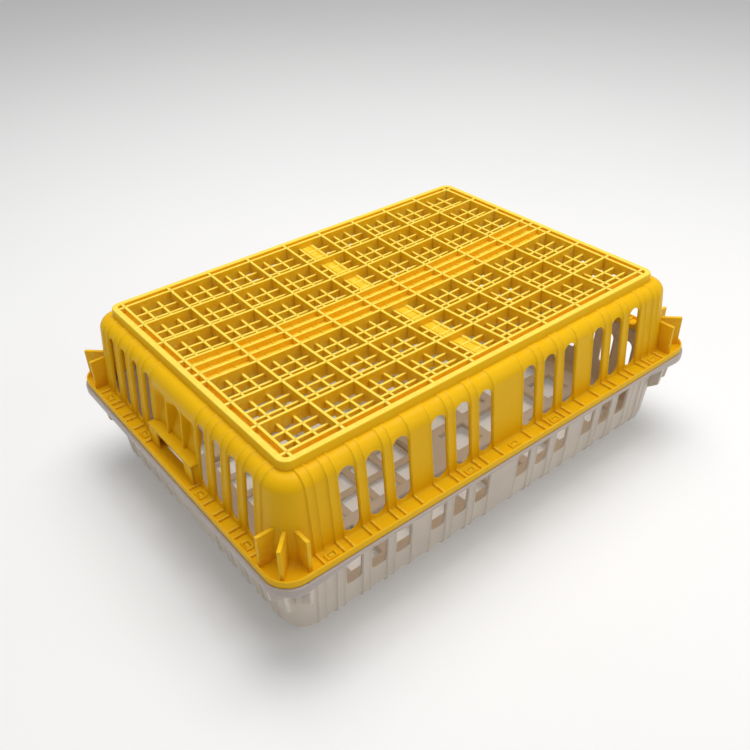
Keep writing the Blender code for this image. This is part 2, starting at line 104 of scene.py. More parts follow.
FLANGE = (372.0, 272.0, 34.0)
FLANGE_TOP = 147.8
LIP_TOP = 152.8
LEDGE = 4.5                      # thickness of the flange and of the rim
LAP = 2.6                        # the flange and the rim reach this far into the wall
RIM = (375.0, 275.0, 37.0)
RIM_LOW = 129.3
RIM_SLIM_HALF = 262.0            # along the long sides the rim is slim as far as here
RIM_FULL_HALF = 335.0            # and has its full height again from here
SOCKETS_LONG = (-296.0, -78.8, 0.0, 78.8, 296.0)
SOCKETS_SHORT = (-186.0, -77.0, 77.0, 186.0)
SOCKET_Y = 260.0
SOCKET_X = 361.0
SOCKET_SIZE = (17.0, 11.0)
SOCKET_HOLE = (8.6, 6.0)
SOCKET_RISE = 2.2

FIN = 4.8
FIN_TOP = 194.0
FIN_PLANS = (
    ((338.0, 221.7), (367.5, 221.7)),
    ((327.0, 236.0), (327.0, 265.0)),
    ((334.0, 230.3), (360.0, 256.3)),
)
CORNER_FLARE = 8.0               # radius of the wall's run-out into the flange at the corners
GUSSET_DROP = 54.0               # at the outer end
GUSSET_ROOT_DROP = 72.0          # beside the wall
GUSSET_FOOT = 0.78

GRIP_HALF = 60.0
GRIP_FRONT = 359.5
GRIP_TOP = 180.0
GRIP_SKIN = 3.0
GRIP_BACK = 342.0
GRIP_END_BACK = 347.0            # the top's back stays within the wall beside the hollow
GRIP_BACK_HALF = 53.0
GRIP_LEG_TOP = 346.5             # the legs' backs follow the wall's slope
GRIP_LEG_FOOT = 349.5
GRIP_ARCH_HALF = 37.0
GRIP_ARCH_TOP = 175.5
DENT_COLUMNS = (6.0, 12.0, 28.0, GRIP_ARCH_HALF, 44.0, 49.0, 50.7, 52.4, DENT_HALF)
UPPER_GRIP_OPENING = (94.5, 200.0)      # depths cut away from the wall behind a hand hold
LOWER_GRIP_OPENING = (112.0, 134.0)

FLOOR_TOP = 20.0
FLOOR_UNDER = 12.0
FLOOR_BAR = 18.0
FLOOR_COLUMNS = 9
DOOR_X = (-262.0, -12.0)
DOOR_Y = 115.0
DOOR_OVERLAP = 12.0
DOOR_LOW = 5.8
DOOR_THICKNESS = 5.0


YELLOW_SPECULAR = 0.10
WHITE_SPECULAR = 0.22
SUBSURFACE = 0.25                # share of light that passes under the plastic's surface
SUBSURFACE_DEPTH = 0.004         # and how far, in metres
SUBSURFACE_COLOUR = (1.0, 0.65, 0.15)
SHARP_ANGLE = math.radians(50)
BEVEL_ANGLE = math.radians(65)


# Mesh building blocks --------------------------------------------------------------
def vert(bm, x, y, z):
    return bm.verts.new((x * MM, y * MM, z * MM))


def quad(bm, a, b, c, d):
    """A face through the corners that are not the same vertex."""
    corners = []
    for corner in (a, b, c, d):
        if corner not in corners:
            corners.append(corner)
    if len(corners) > 2:
        bm.faces.new(corners)


def bridge(bm, near, far, closed=True):
    count = len(near)
    for index in range(count if closed else count - 1):
        following = (index + 1) % count
        quad(bm, near[index], near[following], far[following], far[index])


def rounded_ring(half_x, half_y, radius, z):
    points = []
    radius = max(radius, 0.4)
    for turn, (sx, sy) in enumerate(((1, 1), (-1, 1), (-1, -1), (1, -1))):
        for step in range(CORNER_STEPS + 1):
            angle = math.radians(90 * turn + 90 * step / CORNER_STEPS)
            x = sx * (half_x - radius) + radius * math.cos(angle)
            y = sy * (half_y - radius) + radius * math.sin(angle)
            points.append((x, y, z))
    return points


def add_ring_loft(bm, sections):
    """A closed ring swept through rounded rectangles."""
    rings = [[vert(bm, *p) for p in rounded_ring(*section)] for section in sections]
    for low, high in zip(rings, rings[1:] + rings[:1]):
        bridge(bm, low, high)


def add_loft(bm, outlines):
    """A capped solid through outlines with the same number of points."""
    rings = [[vert(bm, *p) for p in outline] for outline in outlines]
    for low, high in zip(rings, rings[1:]):
        bridge(bm, low, high)
    bm.faces.new(rings[0])
    bm.faces.new(rings[-1])


def box_outline(low, high, z):
    return [(low[0], low[1], z), (high[0], low[1], z), (high[0], high[1], z), (low[0], high[1], z)]


def add_box(bm, low, high):
    add_loft(bm, [box_outline(low, high, low[2]), box_outline(low, high, high[2])])


def rounded_bar(half, low, high, radius):
    """Cross-section of a rib with a rounded top, as points across and up."""
    points = [(-half, low), (-half, high - radius)]
    for step in range(1, 4):
        angle = math.radians(90 - 30 * step)
        points.append((-half + radius * (1 - math.sin(angle)), high - radius * (1 - math.cos(angle))))
    mirrored = [(-across, up) for across, up in reversed(points)]
    return points + mirrored


def add_bar(bm, start, end, section, segments=1, drop=None):
    """A straight bar between two plan points, lowered by drop(x, y) along the way."""
    along = Vector((end[0] - start[0], end[1] - start[1]))
    across = Vector((-along.y, along.x)).normalized()
    outlines = []
    for index in range(segments + 1):
        middle = Vector(start) + along * (index / segments)
        lower = drop(middle.x, middle.y) if drop else 0.0
        outlines.append([
            (middle.x + across.x * u, middle.y + across.y * u, z - lower) for u, z in section
        ])
    add_loft(bm, outlines)


def sag(x, y):
    """How far the ribbed plate hangs down at a place."""
    along = max(0.0, 1.0 - (x / GRID[0]) ** 2)
    across = max(0.0, 1.0 - (y / GRID[1]) ** 2)
    return SAG * along * across


# Materials ---------------------------------------------------------------------------
def add_node(tree, kind, place, **values):
    node = tree.nodes.new(kind)
    node.location = place
    for name, value in values.items():
        if name in node.inputs:
            node.inputs[name].default_value = value
        else:
            setattr(node, name, value)
    return node


def noise(tree, coordinates, scale, detail, place):
    node = add_node(tree, "ShaderNodeTexNoise", place, Scale=scale, Detail=detail)
    tree.links.new(coordinates, node.inputs["Vector"])
    return node.outputs["Fac"]


def remap(tree, value, low, high, to_low, to_high, place):
    node = add_node(tree, "ShaderNodeMapRange", place)
    for name, number in (("From Min", low), ("From Max", high), ("To Min", to_low), ("To Max", to_high)):
        node.inputs[name].default_value = number
    tree.links.new(value, node.inputs["Value"])
    return node.outputs["Result"]


def mix_colour(tree, factor, first, second, place):
    """first and second are colours or sockets."""
    node = add_node(tree, "ShaderNodeMix", place, data_type="RGBA")
    tree.links.new(factor, node.inputs["Factor"])
    for socket, value in ((node.inputs[6], first), (node.inputs[7], second)):
        if isinstance(value, tuple):
            socket.default_value = value
        else:
            tree.links.new(value, socket)
    return node.outputs[2]


def painted_top_highlight(tree, geometry, colour, wear_and_highlight, amount, scuffs):
    """Painted highlight: lightens the faces that look up, where the top light falls, unevenly."""
    split = add_node(tree, "ShaderNodeSeparateXYZ", (-900, -1900))
    tree.links.new(geometry.outputs["Normal"], split.inputs[0])
    upward = remap(tree, split.outputs["Z"], 0.35, 0.95, 0.0, amount, (-700, -1900))
    patchy = remap(tree, scuffs, 0.25, 1.0, 0.8, 1.0, (-700, -2100))
    both = add_node(tree, "ShaderNodeMath", (-500, -1950), operation="MULTIPLY")
    tree.links.new(upward, both.inputs[0])
    tree.links.new(patchy, both.inputs[1])
    return mix_colour(tree, both.outputs[0], colour, wear_and_highlight, (-300, 500))


def moulded_plastic(name, colours, wear_and_highlight, crevice_shade, roughness, seed, top_highlight_amount=0.0, specular=WHITE_SPECULAR):
    """Semi-gloss polyethylene: uneven pigment, flow marks, pale worn edges, painted shade darkening the
    creases, and fine grain.

    Faces that look up can be lightened towards the pale wear colour, unevenly: a painted highlight where the
    top light falls.
    """
    material = bpy.data.materials.new(name)
    material.use_nodes = True
    tree = material.node_tree
    shader = tree.nodes["Principled BSDF"]
    coords = add_node(tree, "ShaderNodeTexCoord", (-1500, 0)).outputs["Object"]
    mapping = add_node(tree, "ShaderNodeMapping", (-1300, 0))
    mapping.inputs["Location"].default_value = (seed, seed * 0.7, seed * 0.3)
    tree.links.new(coords, mapping.inputs["Vector"])
    place = mapping.outputs["Vector"]

    cloud = remap(tree, noise(tree, place, 9.0, 3.0, (-1100, 300)), 0.25, 0.75, 0.0, 1.0, (-900, 300))
    base = mix_colour(tree, cloud, colours[0], colours[1], (-700, 300))

    flow = add_node(tree, "ShaderNodeMapping", (-1100, -100))
    flow.inputs["Scale"].default_value = (14.0, 14.0, 120.0)
    tree.links.new(place, flow.inputs["Vector"])
    streak = noise(tree, flow.outputs["Vector"], 1.0, 3.0, (-900, -100))

    geometry = add_node(tree, "ShaderNodeNewGeometry", (-1300, -500))
    edge = remap(tree, geometry.outputs["Pointiness"], 0.53, 0.60, 0.0, 0.55, (-900, -500))
    scuffs = remap(tree, noise(tree, place, 160.0, 5.0, (-1100, -700)), 0.45, 0.62, 0.25, 1.0, (-900, -700))
    wear = add_node(tree, "ShaderNodeMath", (-700, -550), operation="MULTIPLY")
    tree.links.new(edge, wear.inputs[0])
    tree.links.new(scuffs, wear.inputs[1])
    worn_and_lit = mix_colour(tree, wear.outputs[0], base, wear_and_highlight, (-450, 250))
    # Painted highlight: faces that look up are lightened, as where the top light falls.
    if top_highlight_amount:
        worn_and_lit = painted_top_highlight(tree, geometry, worn_and_lit, wear_and_highlight, top_highlight_amount, scuffs)

    # Painted shade: concave creases are darkened towards the crevice colour, in patches.
    crevice = remap(tree, geometry.outputs["Pointiness"], 0.47, 0.40, 0.0, 0.5, (-900, -900))
    shade_patches = remap(tree, noise(tree, place, 45.0, 4.0, (-1100, -1100)), 0.4, 0.7, 0.1, 1.0, (-900, -1100))
    painted_shade = add_node(tree, "ShaderNodeMath", (-700, -1000), operation="MULTIPLY")
    tree.links.new(crevice, painted_shade.inputs[0])
    tree.links.new(shade_patches, painted_shade.inputs[1])
    colour = mix_colour(tree, painted_shade.outputs[0], worn_and_lit, crevice_shade, (-250, 250))
    tree.links.new(colour, shader.inputs["Base Color"])

    rough = remap(tree, streak, 0.3, 0.7, roughness - 0.07, roughness + 0.09, (-450, -150))
    tree.links.new(rough, shader.inputs["Roughness"])
    shader.inputs["IOR"].default_value = 1.5
    shader.inputs["Specular IOR Level"].default_value = specular
    shader.inputs["Subsurface Weight"].default_value = SUBSURFACE
    shader.inputs["Subsurface Radius"].default_value = SUBSURFACE_COLOUR
    shader.inputs["Subsurface Scale"].default_value = SUBSURFACE_DEPTH

    grain = noise(tree, place, 1900.0, 2.0, (-900, -1400))
    ripple = noise(tree, place, 60.0, 2.0, (-900, -1600))
    fine = add_node(tree, "ShaderNodeBump", (-500, -1400), Strength=0.14, Distance=0.0002)
    tree.links.new(grain, fine.inputs["Height"])
    broad = add_node(tree, "ShaderNodeBump", (-250, -1400), Strength=0.05, Distance=0.0012)
    tree.links.new(ripple, broad.inputs["Height"])
    tree.links.new(fine.outputs["Normal"], broad.inputs["Normal"])
    tree.links.new(broad.outputs["Normal"], shader.inputs["Normal"])
    return material


# In each material below the last colour, darker than the base, is painted shade for the creases.
def yellow_plastic():
    return moulded_plastic(
        "yellow_polyethylene",
        ((0.86, 0.485, 0.004, 1.0), (0.90, 0.525, 0.006, 1.0)),
        (0.98, 0.76, 0.12, 1.0), (0.66, 0.30, 0.010, 1.0), 0.38, 3.1, specular=YELLOW_SPECULAR,
    )


def yellow_rib_plastic():
    # A brighter copy of the yellow whose up-facing faces are lightened further: painted highlight on the lit
    # tops of the ribs and the frame band.
    return moulded_plastic(
        "yellow_polyethylene_painted_top_light",
        ((0.92, 0.545, 0.004, 1.0), (0.95, 0.58, 0.006, 1.0)),
        (0.99, 0.80, 0.15, 1.0), (0.80, 0.42, 0.010, 1.0), 0.36, 5.3, 0.75, YELLOW_SPECULAR,
    )


def white_plastic():
    return moulded_plastic(
        "white_polyethylene",
        ((0.62, 0.545, 0.46, 1.0), (0.69, 0.615, 0.53, 1.0)),
        (0.82, 0.78, 0.72, 1.0), (0.34, 0.30, 0.25, 1.0), 0.40, 7.7,
    )


def rim_plastic():
    # Darker and cooler than the white plastic of the same shell: painted shade for the rim under the flange
    # and a painted cool reflection on it.
    return moulded_plastic(
        "rim_polyethylene",
        ((0.485, 0.42, 0.385, 1.0), (0.53, 0.46, 0.42, 1.0)),
        (0.80, 0.78, 0.78, 1.0), (0.32, 0.28, 0.26, 1.0), 0.33, 11.3,
    )


# Making pieces ------------------------------------------------------------------------
YELLOW = yellow_plastic()
# The ribs' and frame band's yellow carries painted highlight on faces that look up.
YELLOW_TOP_LIT = yellow_rib_plastic()
WHITE = white_plastic()
# The rim's white is the lower shell's white painted darker and cooler, as shade and reflection.
RIM_SHADED_WHITE = rim_plastic()


def make_piece(name, bm, body, material, replaces=(), bevel=0.0, solidify=0.0, segments=2):
    if not solidify:
        bmesh.ops.recalc_face_normals(bm, faces=bm.faces)
    mesh = bpy.data.meshes.new(name)
    bm.to_mesh(mesh)
    bm.free()
    mesh.materials.append(material)
    mesh.shade_smooth()
    if not bevel:
        mesh.set_sharp_from_angle(angle=SHARP_ANGLE)
    obj = bpy.data.objects.new(name, mesh)
    bpy.context.scene.collection.objects.link(obj)
    if solidify:
        thick = obj.modifiers.new("thickness", "SOLIDIFY")
        thick.thickness = solidify * MM
        thick.offset = -1.0
        thick.use_even_offset = True
    if bevel:
        soft = obj.modifiers.new("soft_edges", "BEVEL")
        soft.width = bevel * MM
        soft.segments = segments
        soft.limit_method = "ANGLE"
        soft.angle_limit = BEVEL_ANGLE
        soft.use_clamp_overlap = True
    weighted = obj.modifiers.new("normals", "WEIGHTED_NORMAL")
    weighted.keep_sharp = True
    weighted.weight = 80
    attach(obj, body)
    if replaces:
        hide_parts(*replaces)
    return obj


# Walls ----------------------------------------------------------------------------------
def smooth(value):
    value = min(1.0, max(0.0, value))
    return value * value * (3.0 - 2.0 * value)


def shoulder_row(angle, depth):
    """A row of the rounded shoulder, by the angle of its normal."""
    inset = SHOULDER * (1.0 - math.cos(angle))
    return (*[size - inset for size in BROW], depth, math.cos(angle), math.sin(angle))


def arc_depths(start, radius, angles):
    """Depths at some angles round a slot's end that starts at a depth."""
    return [start + radius * (1.0 - math.cos(math.radians(angle))) for angle in angles]


def wall_rows(foot_depth, blunt):
    """Rows of the wall from under the frame band to the foot.

    blunt adds the rows for the lower shell's shorter slots.

    Each is (half length, half width, radius, depth, outward share and facing share of the normal).
    """
    rows = [(*[size - BAND_LAP for size in BAND], WALL_START, 0.0, 1.0)]
    for degrees in (90, 80, 70, 60, 50, 40, 30, 23):
        angle = math.radians(degrees)
        rows.append(shoulder_row(angle, BROW_DEPTH - SHOULDER * math.sin(angle)))
    for depth in arc_depths(SLOT_TOP, LONG_SLOT_HALF, (0, 15, 30)):
        rows.append(shoulder_row(math.asin((BROW_DEPTH - depth) / SHOULDER), depth))
    depths = arc_depths(SLOT_TOP, LONG_SLOT_HALF, (45, 60, 75, 90))
    depths += [42.0, 46.0, 50.0, 54.0, 58.0]
    if blunt:
        depths += arc_depths(LOWER_SLOT_START, LOWER_SLOT_CORNER, (0, 30, 60, 90))
    else:
        depths += [63.0]
    depths += [69.0, 75.0, 82.0, 90.0, 94.5, 101.0]
    depths += arc_depths(SLOT_END, -LONG_SLOT_HALF, (90, 75, 60, 45, 30, 15, 0))
    if blunt:
        depths += [124.0, 130.0, foot_depth - 3.0]
    straight = UPPER_FOOT_DEPTH - BROW_DEPTH
    for depth in depths:
        share = min(1.0, (depth - BROW_DEPTH) / straight)
        sizes = [b + (f - b) * share for b, f in zip(BROW, FOOT)]
        rows.append((*sizes, depth, *WALL_NORMAL))
    fillet = foot_depth + 0.4 - depths[-1]
    last = rows[-1]
    for degrees in (30, 60, 90):
        angle = math.radians(degrees)
        out = fillet * (1.0 - math.cos(angle))
        depth = depths[-1] + fillet * math.sin(angle)
        rows.append((last[0] + out, last[1] + out, last[2] + out, depth, math.cos(angle), math.sin(angle)))
    return rows


def band_columns(low, high):
    """Columns across one band with its two beads, as (place, height over the wall)."""
    rising = [(low + shift, lift) for shift, lift in BEAD_PROFILE]
    falling = [(high - shift, lift) for shift, lift in reversed(BEAD_PROFILE)]
    return rising + falling


def side_columns(bands, centre_band, slots, slot_half, extra=()):
    """Columns along one wall, as (kind, place, value), from its left to its right."""
    columns = []
    for shift, lift in BEAD_PROFILE:
        columns.append(("band", centre_band - shift, lift))
    for low, high in bands:
        columns += [("band", place, lift) for place, lift in band_columns(low, high)]
    mirrored = [("band", -place, lift) for _, place, lift in columns]
    columns += mirrored
    for slot in slots:
        for sign in (-1, 1):
            columns.append(("slot", sign * slot, slot_half))
    columns += [("plain", place, 0.0) for place in extra]
    return sorted(columns, key=lambda column: column[1])


def slot_half_width(depth, half, start, corner):
    """Half the slot's opening at a depth.

    The slot's far end is round; its near end, at the depth start, has corners of the given radius.
    """
    if depth < start - 0.01 or depth >= SLOT_END - 0.01:
        return 0.0
    from_end = SLOT_END - depth
    if from_end < half:
        return half * math.sqrt(max(0.0, 1.0 - ((half - from_end) / half) ** 2))
    from_start = max(0.0, depth - start)
    if from_start < corner:
        return half - corner + corner * math.sqrt(max(0.0, 1.0 - ((corner - from_start) / corner) ** 2))
    return half


def dent(place, depth):
    """How deep the hollow above the hand hold is at a place on the short wall."""
    across = abs(place)
    if across >= DENT_HALF or depth <= DENT_START or DENT_RIB[0] <= across <= DENT_RIB[1]:
        return 0.0
    middle = across < DENT_RIB[0]
    deepest = DENT_MIDDLE_DEPTH if middle else DENT_DEPTH
    start = DENT_START + (9.0 * (across / DENT_RIB[0]) ** 2 if middle else 0.0)
    if depth < DENT_DEEPEST:
        amount = deepest * smooth((depth - start) / (DENT_DEEPEST - start))
    else:
        share = smooth((depth - DENT_DEEPEST) / (DENT_SHELF - DENT_DEEPEST))
        amount = deepest + (DENT_REST - deepest) * share
    if not middle:
        amount *= smooth((DENT_HALF - across) / DENT_EDGE)
    return amount


def corner_flare(depth, foot_depth):
    """How far the wall has curved outward at a corner, close above the flange."""
    into = min(CORNER_FLARE, max(0.0, depth - (foot_depth + 0.4 - CORNER_FLARE)))
    return CORNER_FLARE - math.sqrt(CORNER_FLARE ** 2 - into ** 2)


def side_point(side, along, out, z):
    """A point of a wall: side 0 is the front, then right, back and left."""
    return ((along, -out), (out, along), (-along, out), (-out, -along))[side] + (z,)


def build_wall(name, body, material, face, direction, foot_depth, hollow, opening):
    """One shell's four walls with their slots, bands and shoulder.

    hollow turns on the dents above the hand holds, and opening is the depth range that is cut
    away behind each hand hold.
    """
    blunt = direction < 0
    slot_start = LOWER_SLOT_START if blunt else SLOT_TOP
    rows = wall_rows(foot_depth, blunt)
    dent_extra = []
    for sign in (-1, 1):
        for place in (DENT_RIB[0] - DENT_RIB_RAMP, DENT_RIB[0], DENT_RIB[1], DENT_RIB[1] + DENT_RIB_RAMP):
            dent_extra.append(sign * place)
        dent_extra += [sign * place for place in DENT_COLUMNS]
    dent_extra.append(0.0)
    long_columns = side_columns(LONG_BANDS, LONG_CENTRE_BAND, LONG_SLOTS, LONG_SLOT_HALF)
    short_columns = side_columns(SHORT_BANDS, SHORT_CENTRE_BAND, SHORT_SLOTS, SHORT_SLOT_HALF, dent_extra)
    bm = bmesh.new()
    grid = []
    marks = []
    for half_x, half_y, radius, depth, out_share, face_share in rows:
        line = []
        for side in range(4):
            long_side = side % 2 == 0
            reach = half_y if long_side else half_x
            columns = long_columns if long_side else short_columns
            for kind, place, value in columns:
                lift = PANEL if kind == "slot" else value
                if hollow and not long_side and kind != "slot":
                    lift -= dent(place, depth)
                z = face - direction * (depth - lift * face_share)
                out = reach + lift * out_share
                if kind == "slot":
                    width = slot_half_width(depth, value, slot_start, LOWER_SLOT_CORNER if blunt else value)
                    left = vert(bm, *side_point(side, place - width, out, z))
                    right = vert(bm, *side_point(side, place + width, out, z)) if width else left
                    line += [left, right]
                else:
                    line.append(vert(bm, *side_point(side, place, out, z)))
            corner = (half_x - radius, half_y - radius)
            signs = ((1, -1), (1, 1), (-1, 1), (-1, -1))[side]
            for step in range(CORNER_STEPS + 1):
                angle = math.radians(90 * (side - 1) + 90 * step / CORNER_STEPS)
                turned = math.sin(math.pi * step / CORNER_STEPS)
                bend = radius + PANEL * out_share + turned * corner_flare(depth, foot_depth)
                x = signs[0] * corner[0] + bend * math.cos(angle)
                y = signs[1] * corner[1] + bend * math.sin(angle)
                line.append(vert(bm, x, y, face - direction * (depth - PANEL * face_share)))
        grid.append(line)
    for side in range(4):
        columns = long_columns if side % 2 == 0 else short_columns
        for kind, place, value in columns:
            behind = -GRIP_ARCH_HALF - 0.01 <= place < GRIP_ARCH_HALF - 0.01
            grip = side % 2 == 1 and kind != "slot" and behind
            marks += ["slot", ""] if kind == "slot" else ["grip" if grip else ""]
        marks += [""] * (CORNER_STEPS + 1)
    count = len(marks)
    for row in range(len(rows) - 1):
        depth = (rows[row][3] + rows[row + 1][3]) / 2
        upper, lower = grid[row], grid[row + 1]
        for index in range(count):
            following = (index + 1) % count
            if marks[index] == "slot" and slot_start < depth < SLOT_END:
                continue
            if marks[index] == "grip" and opening[0] < depth < opening[1]:
                continue
            corners = (lower[index], lower[following], upper[following], upper[index])
            quad(bm, *(corners if direction > 0 else corners[::-1]))
    loose = [v for v in bm.verts if not v.link_faces]
    bmesh.ops.delete(bm, geom=loose, context="VERTS")
    return make_piece(name, bm, body, material, bevel=0.45, solidify=SHEET)


# Flange, rim and frame bands -----------------------------------------------------------
def ring_section(sizes, offset, z):
    return (sizes[0] + offset, sizes[1] + offset, sizes[2] + offset, z)


def socket_places():
    places = []
    for name, sign in (("front", -1), ("back", 1)):
        places += [(f"{name}_{i}", x, sign * SOCKET_Y, 0) for i, x in enumerate(SOCKETS_LONG, 1)]
    for name, sign in (("left", -1), ("right", 1)):
        places += [(f"{name}_{i}", sign * SOCKET_X, y, 1) for i, y in enumerate(SOCKETS_SHORT, 1)]
    return places


def cut_sockets(obj, low, high):
    """Cuts the snap sockets' square holes through a ring, and keeps the result as its mesh."""
    bm = bmesh.new()
    for _, x, y, turned in socket_places():
        half = (SOCKET_HOLE[turned] / 2, SOCKET_HOLE[1 - turned] / 2)
        add_box(bm, (x - half[0], y - half[1], low), (x + half[0], y + half[1], high))
    bmesh.ops.recalc_face_normals(bm, faces=bm.faces)
    mesh = bpy.data.meshes.new("socket_cutter")
    bm.to_mesh(mesh)
    bm.free()
    tool = bpy.data.objects.new("socket_cutter", mesh)
    bpy.context.scene.collection.objects.link(tool)
    modifier = obj.modifiers.new("sockets", "BOOLEAN")
    modifier.operation = "DIFFERENCE"
    modifier.solver = "EXACT"
    modifier.object = tool
    while obj.modifiers[0] != modifier:
        obj.modifiers.move(len(obj.modifiers) - 1, 0)
    others = [m for m in obj.modifiers if m != modifier]
    for other in others:
        other.show_viewport = False
    graph = bpy.context.evaluated_depsgraph_get()
    result = bpy.data.meshes.new_from_object(obj.evaluated_get(graph))
    for other in others:
        other.show_viewport = True
    obj.modifiers.remove(modifier)
    old = obj.data
    obj.data = result
    bpy.data.meshes.remove(old)
    bpy.data.objects.remove(tool, do_unlink=True)
    bpy.data.meshes.remove(mesh)


def build_upper_flange():
    low = PARTING + FIT_GAP
    inner = tuple(size - LAP for size in FOOT)
    sections = [
        ring_section(FLANGE, -0.8, low), ring_section(FLANGE, -0.2, low + 0.3),
        ring_section(FLANGE, 0.0, low + 0.9),
        ring_section(FLANGE, 0.0, LIP_TOP - 1.3), ring_section(FLANGE, -0.4, LIP_TOP - 0.4),
        ring_section(FLANGE, -1.2, LIP_TOP), ring_section(FLANGE, -1.9, LIP_TOP),
        ring_section(FLANGE, -2.7, LIP_TOP - 0.4), ring_section(FLANGE, -3.1, LIP_TOP - 1.3),
        ring_section(FLANGE, -3.3, FLANGE_TOP + 1.2), ring_section(FLANGE, -3.7, FLANGE_TOP + 0.4),
        ring_section(FLANGE, -4.5, FLANGE_TOP),
        (*inner, FLANGE_TOP), (*inner, low),
    ]
    bm = bmesh.new()
    add_ring_loft(bm, sections)
    flange = make_piece("upper_flange", bm, "upper", YELLOW)
    cut_sockets(flange, low - 2.0, FLANGE_TOP + 2.0)
    return flange


def slimmed_ring(half_x, half_y, radius, z, slim_z):
    """A rounded rectangle that steps to slim_z along the middle of both long sides."""
    points = rounded_ring(half_x, half_y, radius, z)
    quarter = CORNER_STEPS + 1
    places = ((RIM_FULL_HALF, z), (RIM_SLIM_HALF, slim_z), (-RIM_SLIM_HALF, slim_z), (-RIM_FULL_HALF, z))
    back = [(x, half_y, height) for x, height in places]
    front = [(-x, -half_y, height) for x, height in places]
    return points[:quarter] + back + points[quarter:3 * quarter] + front + points[3 * quarter:]


def build_lower_rim():
    """The rim's ledge with its skirt; each section is an offset, a height and the slim height."""
    ledge = PARTING - LEDGE
    profile = (
        (-2.4, PARTING, PARTING), (-1.1, PARTING - 0.35, PARTING - 0.35),
        (-0.3, PARTING - 1.2, PARTING - 1.2), (0.0, PARTING - 2.6, PARTING - 2.4),
        (0.0, RIM_LOW + 3.6, PARTING - 2.9), (-0.3, RIM_LOW + 2.0, PARTING - 4.1),
        (-1.1, RIM_LOW + 0.6, PARTING - 5.0), (-1.9, RIM_LOW, PARTING - 5.2),
        (-2.8, RIM_LOW + 0.5, PARTING - 5.0), (-3.1, RIM_LOW + 1.6, PARTING - 4.8),
        (-3.3, ledge - 1.5, PARTING - 4.7), (-4.5, ledge, ledge),
    )
    outlines = [slimmed_ring(*ring_section(RIM, offset, z), slim) for offset, z, slim in profile]
    for z in (ledge, PARTING):
        outlines.append(slimmed_ring(*[size - LAP for size in FOOT], z, z))
    bm = bmesh.new()
    rings = [[vert(bm, *point) for point in outline] for outline in outlines]
    for near, far in zip(rings, rings[1:] + rings[:1]):
        bridge(bm, near, far)
    rim = make_piece("lower_rim", bm, "lower", RIM_SHADED_WHITE)
    cut_sockets(rim, ledge - 3.0, PARTING + 2.0)
    return rim


def build_frame_band(name, body, material, face, direction):
    """The raised band round a plate's edge, with a rounded top and a drafted outer side."""
    profile = [
        (1.2, 13.4), (0.15, 1.5), (-0.15, 0.7), (-0.75, 0.15), (-1.5, 0.0),
        (-BAND_WIDTH + 1.3, 0.0), (-BAND_WIDTH + 0.55, 0.15), (-BAND_WIDTH + 0.1, 0.7),
        (-BAND_WIDTH, 1.5), (-BAND_WIDTH - 0.25, 15.2), (1.0, 15.2),
    ]
    sections = [ring_section(BAND, offset, face - direction * depth) for offset, depth in profile]
    bm = bmesh.new()
    add_ring_loft(bm, sections)
    return make_piece(name, bm, body, material)


# Ribbed upper plate -----------------------------------------------------------------------
def column_lines():
    step = (2 * GRID[0] - 2 * END_COLUMN) / INNER_COLUMNS
    inner = [-GRID[0] + END_COLUMN + step * index for index in range(INNER_COLUMNS + 1)]
    return [-GRID[0]] + inner + [GRID[0]]


def row_lines():
    lines = [-GRID[1]]
    for step in ROW_STEPS:
        lines.append(lines[-1] + step)
    return lines


def narrow_span():
    rows = [pair for pair, step in zip(zip(row_lines(), row_lines()[1:]), ROW_STEPS) if step == NARROW]
    return rows[0][0], rows[-1][1]


def build_deep_ribs():
    section = rounded_bar(RIB_HALF, HEIGHT - RIB_DEPTH, HEIGHT - 0.4, 0.9)
    bm = bmesh.new()
    for x in column_lines():
        add_bar(bm, (x, -GRID[1] - RIB_HALF), (x, GRID[1] + RIB_HALF), section, 20, sag)
    for y in row_lines():
        add_bar(bm, (-GRID[0] - RIB_HALF, y), (GRID[0] + RIB_HALF, y), section, 28, sag)
    return make_piece("upper_plate_ribs", bm, "upper", YELLOW_TOP_LIT, replaces=("upper_shell",))


def build_edge_ribs():
    """Every rib's end, across the channel between the plate's outer rib and the frame band."""
    section = rounded_bar(RIB_HALF, HEIGHT - 12.0, HEIGHT - 0.7, 0.9)
    outer = (BAND[0] - BAND_WIDTH + 0.6, BAND[1] - BAND_WIDTH + 0.6)
    bm = bmesh.new()
    for sign in (-1, 1):
        for x in column_lines():
            add_bar(bm, (x, sign * GRID[1]), (x, sign * outer[1]), section)
        for y in row_lines():
            add_bar(bm, (sign * GRID[0], y), (sign * outer[0], y), section)
    return make_piece("upper_edge_ribs", bm, "upper", YELLOW_TOP_LIT)


def thirds(low, high):
    return (low + (high - low) / 3, low + (high - low) * 2 / 3)


def build_fine_ribs():
    """The fine grid low in each cell: two bars each way, crossing at the same height."""
    section = rounded_bar(FINE_HALF, HEIGHT - RIB_DEPTH, HEIGHT - FINE_TOP, 0.7)
    bm = bmesh.new()
    ys = row_lines()
    xs = column_lines()
    low_narrow, high_narrow = narrow_span()
    for (y0, y1), step in zip(zip(ys, ys[1:]), ROW_STEPS):
        if step != NARROW:
            for y in thirds(y0, y1):
                add_bar(bm, (-GRID[0], y), (GRID[0], y), section, 28, sag)
    for x0, x1 in zip(xs, xs[1:]):
        for x in thirds(x0, x1):
            add_bar(bm, (x, -GRID[1]), (x, low_narrow), section, 9, sag)
            add_bar(bm, (x, high_narrow), (x, GRID[1]), section, 9, sag)
    return make_piece("upper_fine_ribs", bm, "upper", YELLOW_TOP_LIT)


def add_sagging_slab(bm, low, high, top, thickness, segments):
    """A flat slab that follows the plate's sag."""
    middle = (low[1] + high[1]) / 2
    half = (high[1] - low[1]) / 2
    section = [(-half, top - thickness), (-half, top), (half, top), (half, top - thickness)]
    add_bar(bm, (low[0], middle), (high[0], middle), section, segments, sag)


